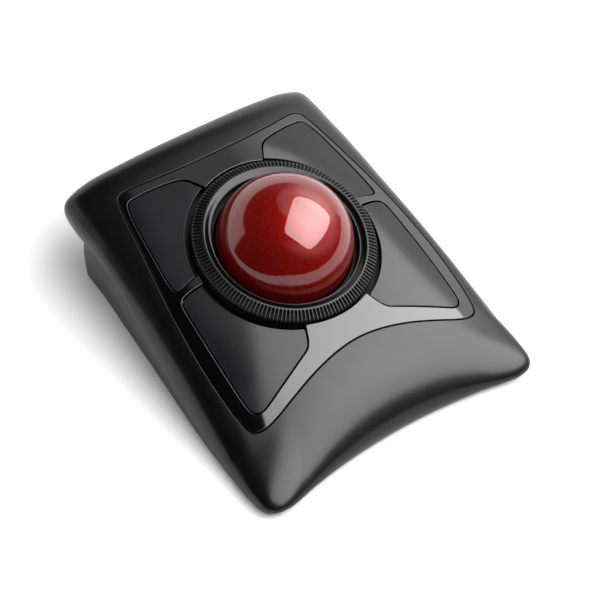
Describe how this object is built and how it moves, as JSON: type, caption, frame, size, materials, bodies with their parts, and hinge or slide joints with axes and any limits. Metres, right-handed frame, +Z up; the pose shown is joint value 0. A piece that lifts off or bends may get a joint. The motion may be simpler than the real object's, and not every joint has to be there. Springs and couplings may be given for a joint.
{
  "type": "trackball mouse",
  "caption": "Desktop trackball with a large red ball, a knurled scroll ring around it, four rocking top buttons, a crowned black case and a sliding battery door.",
  "frame": {"origin": "on the plane of the feet, below the middle of the bounding box", "axes": "+Z up, -Y towards the heel of the hand, +Y towards the raised far end, +X to the right"},
  "size_m": [0.1338, 0.1556, 0.0649],
  "materials": {
    "cover_black": "satin, fine moulded texture",
    "bezel_gloss": "piano gloss",
    "case_black": "matte moulded texture",
    "cup_black": "satin",
    "bearing_white": "polished ceramic",
    "retainer_grey": "satin",
    "screw_steel": "zinc-plated",
    "ring_black": "satin, knurled",
    "ball_red": "polished resin with a fine pearl speckle",
    "button_grey": "satin metallic grey",
    "plunger_ivory": "moulded",
    "switch_grey": "moulded",
    "board_green": "solder-masked laminate",
    "sensor_black": "moulded",
    "lens_clear": "clear moulded lens",
    "shield_metal": "tinned shield can",
    "cell_wrap": "printed-colour shrink wrap with no lettering",
    "contact_nickel": "nickel-plated spring steel",
    "receiver_black": "satin",
    "knob_silver": "satin",
    "foot_rubber": "matte",
    "label_grey": "plain film, no printing"
  },
  "bodies": {
    "housing": {"top_shell": "cover_black", "gloss_bezel": "bezel_gloss", "lower_case": "case_black", "ball_cup": "cup_black", "support_bearings": "bearing_white", "ring_retainer": "retainer_grey", "retainer_screws": "screw_steel", "switch_upper_left": "switch_grey", "switch_upper_right": "switch_grey", "switch_lower_left": "switch_grey", "switch_lower_right": "switch_grey", "switch_board_left": "board_green", "switch_board_right": "board_green", "ring_sensor": "sensor_black", "ring_sensor_board": "board_green", "sensor_lens": "lens_clear", "tracking_sensor": "sensor_black", "tracking_board": "board_green", "main_board": "board_green", "radio_module": "shield_metal", "battery_cell_front": "cell_wrap", "battery_cell_rear": "cell_wrap", "battery_contacts": "contact_nickel", "usb_receiver": "receiver_black", "power_switch": "switch_grey", "mode_switch": "switch_grey", "pairing_switch": "switch_grey", "rubber_feet": "foot_rubber", "case_screws": "screw_steel", "cup_screws": "screw_steel", "board_screws": "screw_steel", "blank_label": "label_grey"},
    "scroll_ring": {"scroll_ring": "ring_black"},
    "ball": {"ball": "ball_red"},
    "battery_door": {"battery_door": "case_black"},
    "power_knob": {"power_knob": "knob_silver"},
    "mode_knob": {"mode_knob": "knob_silver"},
    "pairing_button": {"pairing_button": "button_grey"},
    "button_upper_left": {"button_upper_left": "button_grey"},
    "button_upper_right": {"button_upper_right": "button_grey"},
    "button_lower_left": {"button_lower_left": "button_grey"},
    "button_lower_right": {"button_lower_right": "button_grey"},
    "plunger_upper_left": {"plunger_upper_left": "plunger_ivory"},
    "plunger_upper_right": {"plunger_upper_right": "plunger_ivory"},
    "plunger_lower_left": {"plunger_lower_left": "plunger_ivory"},
    "plunger_lower_right": {"plunger_lower_right": "plunger_ivory"}
  },
  "joints": [
    {"name": "upper_left_press", "type": "hinge", "parent": "housing", "child": "button_upper_left", "pos_m": [-0.03118, 0.05106, 0.0391], "axis": [0.9733, -0.1606, 0.164], "range_deg": [0, 1.18], "stiffness_Nm_per_rad": 0.4, "springref_deg": -0.17},
    {"name": "upper_left_plunge", "type": "slide", "parent": "housing", "child": "plunger_upper_left", "axis": [0, 0.1899, -0.9818], "range_m": [0, 0.00036]},
    {"name": "upper_right_press", "type": "hinge", "parent": "housing", "child": "button_upper_right", "pos_m": [0.03118, 0.05106, 0.0391], "axis": [0.9733, 0.1606, -0.164], "range_deg": [0, 1.18], "stiffness_Nm_per_rad": 0.4, "springref_deg": -0.17},
    {"name": "upper_right_plunge", "type": "slide", "parent": "housing", "child": "plunger_upper_right", "axis": [0, 0.1899, -0.9818], "range_m": [0, 0.00036]},
    {"name": "lower_left_press", "type": "hinge", "parent": "housing", "child": "button_lower_left", "pos_m": [-0.04707, -0.01497, 0.02378], "axis": [0, 0.971, 0.2389], "range_deg": [0, 1.21], "stiffness_Nm_per_rad": 0.4, "springref_deg": -0.17},
    {"name": "lower_left_plunge", "type": "slide", "parent": "housing", "child": "plunger_lower_left", "axis": [0, 0.1899, -0.9818], "range_m": [0, 0.00036]},
    {"name": "lower_right_press", "type": "hinge", "parent": "housing", "child": "button_lower_right", "pos_m": [0.04707, -0.01497, 0.02378], "axis": [0, -0.971, -0.2389], "range_deg": [0, 1.21], "stiffness_Nm_per_rad": 0.4, "springref_deg": -0.17},
    {"name": "lower_right_plunge", "type": "slide", "parent": "housing", "child": "plunger_lower_right", "axis": [0, 0.1899, -0.9818], "range_m": [0, 0.00036]},
    {"name": "ring_spin", "type": "hinge", "parent": "housing", "child": "scroll_ring", "pos_m": [0, 0.00725, 0.04], "axis": [0, -0.1899, 0.9818], "continuous": true},
    {"name": "ball_roll", "type": "hinge", "parent": "housing", "child": "ball", "pos_m": [0, 0.00776, 0.03737], "axis": [1, 0, 0], "continuous": true},
    {"name": "door_slide", "type": "slide", "parent": "housing", "child": "battery_door", "axis": [0, 1, 0], "range_m": [0, 0.046]},
    {"name": "power_slide", "type": "slide", "parent": "housing", "child": "power_knob", "axis": [-1, 0, 0], "range_m": [0, 0.0032]},
    {"name": "mode_slide", "type": "slide", "parent": "housing", "child": "mode_knob", "axis": [1, 0, 0], "range_m": [0, 0.0032]},
    {"name": "pairing_press", "type": "slide", "parent": "housing", "child": "pairing_button", "axis": [0, 0, 1], "range_m": [0, 0.0003], "stiffness_N_per_m": 800, "springref_m": -0.00005}
  ],
  "couplings": [
    {"joint": "upper_left_plunge", "follows": "upper_left_press", "m_per_rad": 0.01707},
    {"joint": "upper_right_plunge", "follows": "upper_right_press", "m_per_rad": 0.01707},
    {"joint": "lower_left_plunge", "follows": "lower_left_press", "m_per_rad": 0.016544},
    {"joint": "lower_right_plunge", "follows": "lower_right_press", "m_per_rad": 0.016544}
  ]
}
